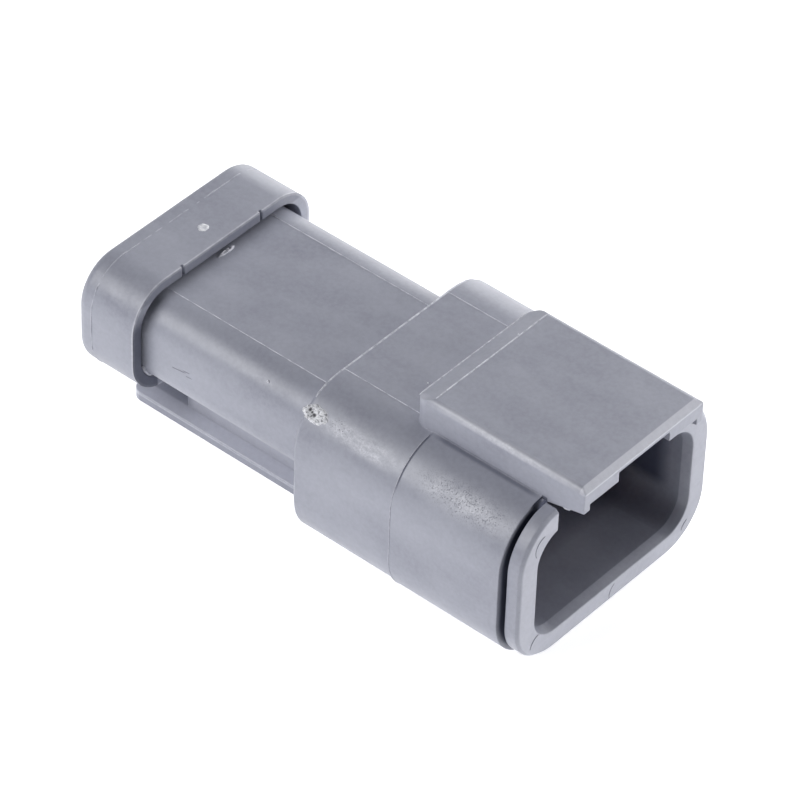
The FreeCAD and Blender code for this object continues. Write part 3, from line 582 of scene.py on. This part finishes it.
def girth(x, form, step=0.5):
    """Points and outward directions round a form at x, from the middle of its top towards -y."""
    left = -form.half + form.corner
    right = form.half - form.corner
    high = form.top - form.corner
    deep = form.low + form.corner
    spots = [(0.0, form.top, 90.0)]
    for y, z, angle in ((left, high, 90), (left, deep, 180), (right, deep, 270), (right, high, 360)):
        for turn in range(0, 91, ARC_STEP):
            a = math.radians(angle + turn)
            spots.append((y + form.corner * math.cos(a), z + form.corner * math.sin(a), angle + turn))
    spots.append((0.0, form.top, 450.0))
    path = []
    for (y, z, angle), (next_y, next_z, next_angle) in zip(spots, spots[1:]):
        count = max(1, round(math.hypot(next_y - y, next_z - z) / step))
        for index in range(count):
            share = index / count
            a = math.radians(angle + (next_angle - angle) * share)
            spot = Vector((x, y + (next_y - y) * share, z + (next_z - z) * share))
            path.append((spot, Vector((0, math.cos(a), math.sin(a)))))
    return path


def add_ridge(name, path, width, height, material, closed=False, waver=0.5):
    """A fine raised line along a path of points and outward directions; its height wavers like real flash."""
    shape = bmesh.new()
    rings = []
    last = len(path) - 1
    for index, (spot, outward) in enumerate(path):
        before = path[index - 1][0] if index or closed else spot
        after = path[(index + 1) % len(path)][0] if index < last or closed else spot
        side = (after - before).cross(outward).normalized() * (width / 2)
        rise = height * (1 + waver * noise.noise(spot * 1.3))
        if not closed and index in (0, last):
            rise = 0
        crest = spot + outward * rise
        foot = spot - outward * SINK
        corners = (foot - side, crest - side * CREST, crest + side * CREST, foot + side)
        rings.append([shape.verts.new(place(*corner)) for corner in corners])
    for first, second in zip(rings, rings[1:] + rings[:1] if closed else rings[1:]):
        for a in range(4):
            b = (a + 1) % 4
            shape.faces.new((first[a], first[b], second[b], second[a]))
    if not closed:
        shape.faces.new(rings[0])
        shape.faces.new(rings[-1])
    return add_piece(name, shape, material)


def crust_height(u, v, share, height, pits, shift):
    """How high a rough patch stands at a place: lumps, a swollen ring near its border, and pits."""
    lumps = noise.noise(Vector((u, v, 0)) * 5.5 + shift)
    grain = noise.noise(Vector((u, v, 1)) * 12 + shift)
    swelling = math.exp(-((share - 0.68) / 0.2) ** 2)
    rise = height * (0.55 + 0.45 * (lumps + 0.6 * grain) + 0.5 * swelling)
    for pit in pits:
        rise -= pit.depth * math.exp(-((u - pit.u) ** 2 + (v - pit.v) ** 2) / pit.radius ** 2)
    return max(rise, 0.004)


def add_crust(name, surface, reach, height, pits, seed, material, rings, spokes):
    """A rough raised patch: surface(u, v) gives a point and its outward direction, reach its half sizes.

    The patch's border is ragged and sinks into what carries it, and its underside is closed.
    """
    shape = bmesh.new()
    loops = []
    shift = Vector((seed, seed * 0.7, 0))
    for ring in range(1, rings + 1):
        share = ring / rings
        fade = min(1.0, (1 - share) / 0.3)
        loop = []
        for spoke in range(spokes):
            a = math.tau * spoke / spokes
            around = Vector((math.cos(a), math.sin(a), 0))
            ragged = 1 + 0.16 * noise.noise(around * 1.3 + shift) + 0.14 * noise.noise(around * 4.5 + shift)
            u = reach[0] * share * ragged * math.cos(a)
            v = reach[1] * share * ragged * math.sin(a)
            spot, outward = surface(u, v)
            rise = crust_height(u, v, share, height, pits, shift) * fade - SINK * (1 - fade)
            loop.append(shape.verts.new(place(*(spot + outward * rise))))
        loops.append(loop)
    shape.faces.new(loops[0])
    for inner, outer in zip(loops, loops[1:]):
        for spoke in range(spokes):
            after = (spoke + 1) % spokes
            shape.faces.new((inner[spoke], outer[spoke], outer[after], inner[after]))
    shape.faces.new(reversed(loops[-1]))
    piece = add_piece(name, shape, material)
    for face in piece.data.polygons:
        face.use_smooth = True
    return piece


def add_crumb(name, spot, outward, size, seed, material):
    """A small angular crumb of plastic, half sunk into the face that it sticks to."""
    shape = bmesh.new()
    bmesh.ops.create_icosphere(shape, subdivisions=2, radius=1.0)
    centre = Vector(spot) + Vector(outward).normalized() * size * 0.25
    for vert in shape.verts:
        lumpy = 1 + 0.45 * noise.noise(vert.co * 1.7 + Vector((seed, 0, 0)))
        vert.co = place(*(centre + vert.co * size * lumpy))
    return add_piece(name, shape, material)


def add_pin_mark(name, y, z, first, last, material):
    """The part of a round ejector-pin mark that lies on the rim's front face, as a fine raised arc; its dark
    colour is painted shade on the mark's edge.
    """
    path = []
    for index in range(PIN_MARK_STEPS + 1):
        a = math.radians(first + (last - first) * index / PIN_MARK_STEPS)
        spot = Vector((RIM_FRONT, y + PIN_MARK_RADIUS * math.cos(a), z + PIN_MARK_RADIUS * math.sin(a)))
        path.append((spot, FORWARD))
    return add_ridge(name, path, 0.09, 0.03, material)


def corner_surface(x, angle, form):
    """Points on a form's upper corner on the -y side, about a place at x and at an angle from straight up."""
    def surface(u, v):
        a = math.radians(angle) + v / form.corner
        outward = Vector((0, -math.sin(a), math.cos(a)))
        centre = Vector((x + u, -form.half + form.corner, form.top - form.corner))
        return centre + outward * form.corner, outward
    return surface


def flat_surface(x, y, z):
    """Points on a flat face that looks up, about one of its places."""
    return lambda u, v: (Vector((x + u, y + v, z)), UP)


def add_parting_and_plate_lines(line, faint):
    for side, sign in (("left", -1), ("right", 1)):
        y = sign * PARTING
        neck = run((5.6, y, NECK_TOP), (SHELL_START + 0.1, y, NECK_TOP), UP)
        add_ridge("neck_parting_" + side, neck, 0.10, 0.035, line)
        shell = run((SHELL_START + 0.3, y, SHELL_TOP), (BRIDGE_START + 0.1, y, SHELL_TOP), UP)
        add_ridge("shell_parting_" + side, shell, 0.10, 0.035, line)
        # A faint pale line along the outer edge of the rail's plate
        y = sign * PLATE_HALF
        plate = run((4.0, y, PLATE_LINE), (SHELL_START, y, PLATE_LINE), (0, sign, 0))
        add_ridge("plate_line_" + side, plate, 0.10, 0.03, faint)


def add_edge_lines(line, faint):
    """Bright ridges on the shell's rear edge and the bridge slope's edges, painted highlights with some wear;
    the step between the mould halves, and the ring round the cap.
    """
    # The shell's rear edge gets a bright ridge: a painted highlight, partly wear
    brow = []
    for spot, outward in girth(SHELL_START + 0.26, REAR_FORM):
        if spot.z > 5.3:
            brow.append((spot + DOWN * SINK, (outward - FORWARD * 0.7).normalized()))
    brow.sort(key=lambda item: item[0].y)
    add_ridge("shell_rear_edge", brow, 0.17, 0.07, line, waver=0.2)
    belt = [(spot, outward) for spot, outward in girth(STEP_AT + 0.02, STEP_FORM)
            if spot.z < 6.0 or abs(spot.y) > BRIDGE_HALF + 0.1]
    add_ridge("mould_half_line", belt, 0.12, 0.05, faint, waver=0.3)
    # The slope's edges get bright ridges: painted highlights, partly wear
    x = BRIDGE_START + 0.03
    low_edge = run((x, -6.3, SLOPE_LOW), (x, 6.4, SLOPE_LOW), (-0.6, 0, 0.8))
    add_ridge("slope_low_edge", low_edge, 0.15, 0.06, line, waver=0.2)
    top_edge = run((SLOPE_END, -6.35, BRIDGE_TOP), (SLOPE_END, 6.4, BRIDGE_TOP), (-0.2, 0, 1))
    add_ridge("slope_top_edge", top_edge, 0.15, 0.045, line, waver=0.3)
    add_ridge("cap_ring_line", girth(1.52, CAP_FORM), 0.14, 0.026, faint, closed=True, waver=4.0)


def add_gates(chalk):
    """The torn gate on the shell's rear corner and the round one on the cap's top."""
    scar = corner_surface(24.30, 45.0, REAR_FORM)
    pits = (Pit(-0.62, -0.12, 0.17, 0.20), Pit(-0.10, 0.10, 0.19, 0.20), Pit(-0.38, -0.02, 0.13, 0.12))
    holes = [Spot(scar(pit.u, pit.v)[0], (pit.radius * 1.2,) * 3, 0.9, 0.7) for pit in pits]
    torn = torn_plastic("torn_gate", holes)
    add_crust("shell_gate_scar", scar, (1.16, 0.76), 0.10, pits, 3.0, torn, rings=18, spokes=60)
    top = flat_surface(3.85, 0.0, CAP_FORM.top)
    dimple = (Pit(0.06, -0.03, 0.17, 0.06),)
    add_crust("cap_gate", top, (0.50, 0.52), 0.055, dimple, 8.0, chalk, rings=8, spokes=28)


def add_joint_flash_and_highlight(line):
    """Flash in the joint between cap and neck: a flake on top, and at the near corner a pale sliver that is a
    painted highlight on the lip's inner edge.
    """
    joint = flat_surface(6.05, 0.25, NECK_TOP)
    add_crust("joint_flake", joint, (0.20, 1.0), 0.13, (), 5.0, line, rings=8, spokes=36)
    # The pale sliver is a painted highlight on the lip's inner edge
    centre = Vector((5.72, -6.75, -1.59))
    sliver = []
    for degrees in range(196, 262, 6):
        a = math.radians(degrees)
        outward = Vector((0, math.cos(a), math.sin(a)))
        sliver.append((centre + outward * 2.26, (outward + FORWARD * 0.9).normalized()))
    add_ridge("joint_sliver", sliver, 0.34, 0.16, line, waver=0.8)


def add_scratches(scratch):
    ends = (((8.81, -0.41), (10.23, -0.22)), ((9.93, -0.12), (10.64, -0.03)), ((10.23, -0.51), (10.89, -0.43)))
    for number, ((start_x, start_z), (end_x, end_z)) in enumerate(ends, 1):
        path = run((start_x, -NECK_HALF, start_z), (end_x, -NECK_HALF, end_z), (0, -1, 0), 0.2)
        add_ridge(f"neck_scratch_{number}", path, 0.07, 0.02, scratch)


def add_rim_marks(line, mark):
    """The nub under the bridge's near foot, pale as painted light, and the ejector-pin marks on the rim, dark
    as painted shade.
    """
    nub = run((45.15, -6.62, 6.40), (46.0, -6.62, 6.56), DOWN, 0.2)
    add_ridge("bridge_foot_nub", nub, 0.42, 0.28, line, waver=0.2)
    for where, y, z, first, last in PIN_MARKS:
        add_pin_mark("pin_mark_" + where, y, z, first, last, mark)


def add_crumbs(chalk):
    add_crumb("crumb_shell", (29.15, -3.0, SHELL_TOP), UP, 0.07, 1.0, chalk)
    add_crumb("crumb_slope", (32.60, 3.2, 9.02), (-0.37, 0, 0.93), 0.08, 4.0, chalk)
    add_crumb("crumb_neck", (17.85, -8.08, 2.95), (0, -0.7, 0.7), 0.10, 7.0, chalk)


def add_moulding_marks_and_painted_lines():
    # The pale line colour serves flash and painted highlights on edges; the pin marks' dark colour is painted
    # shade
    line = line_plastic("flash_and_highlight_line", (0.40, 0.41, 0.48), (0.74, 0.75, 0.82))
    faint = line_plastic("faint_line", (0.36, 0.37, 0.44), (0.52, 0.53, 0.60))
    chalk = line_plastic("chalky_gate", (0.50, 0.51, 0.58), (0.92, 0.93, 0.97))
    mark = line_plastic("pin_mark", (0.17, 0.17, 0.21), (0.24, 0.25, 0.30))
    scratch = line_plastic("scratch", (0.16, 0.16, 0.20), (0.26, 0.27, 0.32))
    add_parting_and_plate_lines(line, faint)
    add_edge_lines(line, faint)
    add_gates(chalk)
    add_joint_flash_and_highlight(line)
    add_scratches(scratch)
    add_rim_marks(line, mark)
    add_crumbs(chalk)


aim_camera()
light_studio()
lay_floor()
dress_nodes()
add_moulding_marks_and_painted_lines()
